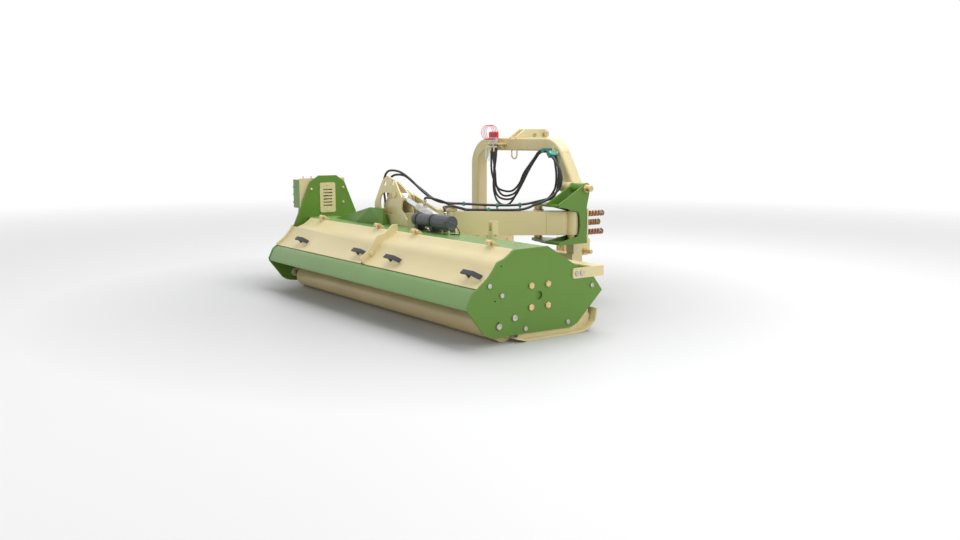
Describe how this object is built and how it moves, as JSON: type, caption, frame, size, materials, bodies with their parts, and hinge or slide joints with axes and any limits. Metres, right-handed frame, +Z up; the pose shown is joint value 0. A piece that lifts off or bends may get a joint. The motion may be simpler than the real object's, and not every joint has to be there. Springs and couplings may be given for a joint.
{
  "type": "offset flail mulcher",
  "caption": "Tractor mulcher with a flail head on a roller and skids, carried by a swinging arm with hydraulic tilt on a three-point hitch frame",
  "frame": {"origin": "on the ground, under the middle of the box around the whole machine", "axes": "+X to the machine's right along the rotor, +Y forward to the tractor, +Z up"},
  "size_m": [2.45, 1.602, 1.0014],
  "materials": {
    "green_paint": "gloss",
    "light_green_paint": "gloss",
    "cream_paint": "gloss",
    "dark_steel": "satin",
    "grey_casting": "satin",
    "bright_steel": "satin",
    "zinc_yellow": "satin",
    "chrome": "polished",
    "black_rubber": "matte",
    "black_plastic": "matte",
    "red_plastic": "gloss",
    "spring_steel": "satin"
  },
  "bodies": {
    "hitch": {"hitch_frame": "cream_paint", "link_plates": "cream_paint", "link_pins": "zinc_yellow", "couplings": "red_plastic", "frame_hoses": "black_rubber", "float_springs": "spring_steel"},
    "bracket": {"float_bracket": "green_paint", "bracket_pins": "zinc_yellow", "spring_rods": "bright_steel"},
    "arm": {"arm": "cream_paint", "arm_hoses": "black_rubber"},
    "link": {"parallel_link": "cream_paint"},
    "swivel": {"swivel": "cream_paint", "swivel_pins": "zinc_yellow"},
    "swing_cylinder_barrel": {"swing_barrel": "dark_steel"},
    "swing_cylinder_rod": {"swing_rod": "chrome"},
    "head": {"end_plate_near": "green_paint", "end_plate_far": "green_paint", "deck_shell": "light_green_paint", "rear_flap": "light_green_paint", "front_guard": "cream_paint", "tower_grille": "cream_paint", "hood": "green_paint", "skid_shoes": "cream_paint", "bearing_housings": "green_paint", "bearing_bolts": "zinc_yellow", "plate_bolts": "bright_steel", "drive_belts": "black_rubber", "belt_case_plate": "cream_paint", "belt_guard": "green_paint", "belt_tensioner": "black_plastic", "gearbox": "grey_casting", "pto_shield": "black_plastic", "roller_brackets": "cream_paint", "cover_rib": "cream_paint", "hinge_ears": "cream_paint", "hinge_bolts": "zinc_yellow", "yoke_plates": "cream_paint", "yoke_bosses": "cream_paint", "tilt_base": "cream_paint", "document_tube": "black_plastic", "document_cap": "black_plastic", "document_feet": "black_plastic", "stand_post": "cream_paint", "valve_block": "zinc_yellow", "arch_hoses": "black_rubber"},
    "tilt_cylinder_barrel": {"tilt_barrel": "grey_casting"},
    "tilt_cylinder_rod": {"tilt_rod": "chrome"},
    "rotor": {"rotor": "green_paint", "rotor_hammers": "dark_steel", "rotor_pulley": "dark_steel"},
    "drive": {"drive_pulley": "dark_steel"},
    "pto": {"pto_shaft": "bright_steel"},
    "roller": {"roller": "bright_steel"},
    "cover_left": {"cover_left": "cream_paint"},
    "cover_right": {"cover_right": "cream_paint"},
    "latch_1": {"latch_1": "dark_steel"},
    "latch_2": {"latch_2": "dark_steel"},
    "latch_3": {"latch_3": "dark_steel"},
    "latch_4": {"latch_4": "dark_steel"}
  },
  "joints": [
    {"name": "float", "type": "hinge", "parent": "hitch", "child": "bracket", "pos_m": [0.49498, 0.501, 0.637], "axis": [1, 0, 0], "range_deg": [-8, 0], "stiffness_Nm_per_rad": 400, "springref_deg": 5.73, "deforming": ["float_springs"]},
    {"name": "arm_swing", "type": "hinge", "parent": "bracket", "child": "arm", "pos_m": [0.49498, 0.45, 0.44], "axis": [0, 0, 1], "range_deg": [0, 50]},
    {"name": "link_swing", "type": "hinge", "parent": "bracket", "child": "link", "pos_m": [0.26398, 0.391, 0.44], "axis": [0, 0, 1], "range_deg": [0, 50]},
    {"name": "swivel_turn", "type": "hinge", "parent": "arm", "child": "swivel", "pos_m": [0.0786, -0.1127, 0.44], "axis": [0, 0, 1], "range_deg": [-50, 0]},
    {"name": "swing_cylinder", "type": "hinge", "parent": "bracket", "child": "swing_cylinder_barrel", "pos_m": [0.4107, 0.46715, 0.4335], "axis": [0, 0, 1], "range_deg": [0, 50]},
    {"name": "swing_stroke", "type": "slide", "parent": "swing_cylinder_barrel", "child": "swing_cylinder_rod", "axis": [-0.599, -0.8007, 0], "range_m": [0, 0.07269]},
    {"name": "tilt", "type": "hinge", "parent": "swivel", "child": "head", "pos_m": [-0.171, -0.285, 0.533], "axis": [0, 1, 0], "range_deg": [-5, 30]},
    {"name": "tilt_cylinder", "type": "hinge", "parent": "head", "child": "tilt_cylinder_barrel", "pos_m": [0.38, -0.324, 0.452], "axis": [0, 1, 0], "range_deg": [-0.57, 3.45]},
    {"name": "tilt_stroke", "type": "slide", "parent": "tilt_cylinder_barrel", "child": "tilt_cylinder_rod", "axis": [-0.962, 0, 0.2731], "range_m": [-0.0076, 0.0456]},
    {"name": "rotor_spin", "type": "hinge", "parent": "head", "child": "rotor", "pos_m": [0.15, -0.395, 0.204], "axis": [1, 0, 0], "continuous": true},
    {"name": "drive_spin", "type": "hinge", "parent": "head", "child": "drive", "pos_m": [-0.98, -0.395, 0.55], "axis": [1, 0, 0], "continuous": true},
    {"name": "pto_spin", "type": "hinge", "parent": "head", "child": "pto", "pos_m": [-1.13, -0.245, 0.55], "axis": [0, 1, 0], "continuous": true},
    {"name": "roller_spin", "type": "hinge", "parent": "head", "child": "roller", "pos_m": [0.15, -0.572, 0.062], "axis": [1, 0, 0], "continuous": true},
    {"name": "cover_left_hinge", "type": "hinge", "parent": "head", "child": "cover_left", "pos_m": [-0.33, -0.545, 0.442], "axis": [-1, 0, 0], "range_deg": [0, 100]},
    {"name": "cover_right_hinge", "type": "hinge", "parent": "head", "child": "cover_right", "pos_m": [0.7, -0.545, 0.442], "axis": [-1, 0, 0], "range_deg": [0, 100]},
    {"name": "latch_1_turn", "type": "hinge", "parent": "cover_left", "child": "latch_1", "pos_m": [-0.647, -0.6975, 0.3015], "axis": [0, 0.638, -0.77], "range_deg": [0, 35]},
    {"name": "latch_2_turn", "type": "hinge", "parent": "cover_left", "child": "latch_2", "pos_m": [0.055, -0.6975, 0.3015], "axis": [0, 0.638, -0.77], "range_deg": [0, 35]},
    {"name": "latch_3_turn", "type": "hinge", "parent": "cover_right", "child": "latch_3", "pos_m": [0.395, -0.6975, 0.3015], "axis": [0, 0.638, -0.77], "range_deg": [0, 35]},
    {"name": "latch_4_turn", "type": "hinge", "parent": "cover_right", "child": "latch_4", "pos_m": [1.075, -0.6975, 0.3015], "axis": [0, 0.638, -0.77], "range_deg": [0, 35]}
  ],
  "couplings": [
    {"joint": "link_swing", "follows": "arm_swing", "ratio": 1},
    {"joint": "swivel_turn", "follows": "arm_swing", "ratio": -1},
    {"joint": "swing_cylinder", "follows": "arm_swing", "ratio": 1},
    {"joint": "swing_stroke", "follows": "arm_swing", "m_per_rad": 0.0833},
    {"joint": "tilt_cylinder", "follows": "tilt", "ratio": 0.115},
    {"joint": "tilt_stroke", "follows": "tilt", "m_per_rad": 0.0871},
    {"joint": "drive_spin", "follows": "rotor_spin", "ratio": 0.75},
    {"joint": "pto_spin", "follows": "rotor_spin", "ratio": -0.25}
  ]
}
